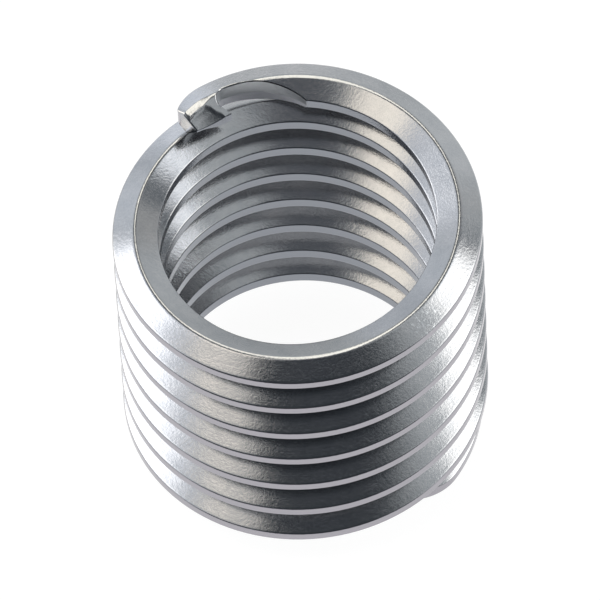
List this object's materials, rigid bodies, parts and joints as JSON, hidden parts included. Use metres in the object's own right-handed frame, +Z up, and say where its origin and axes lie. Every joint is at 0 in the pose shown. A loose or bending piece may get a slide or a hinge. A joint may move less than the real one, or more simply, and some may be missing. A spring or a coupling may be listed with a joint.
{
  "type": "helical wire thread insert",
  "caption": "Tangless wire thread insert: a right-hand coil of diamond-section wire, with a driving notch at each end, that lines a tapped hole for a screw.",
  "frame": {"origin": "on the coil's axis, level with the lowest point of the bottom end coil", "axes": "+Z up along the coil's axis; the wire ends at the top at 131.5 degrees from +X, counted towards +Y, and at the bottom opposite to it"},
  "size_m": [0.0098, 0.0098, 0.0097],
  "materials": {
    "stainless_wire": "satin, as rolled and wound, with fine drawing lines along the wire"
  },
  "bodies": {
    "root": {"wire_coil": "stainless_wire"}
  },
  "joints": []
}
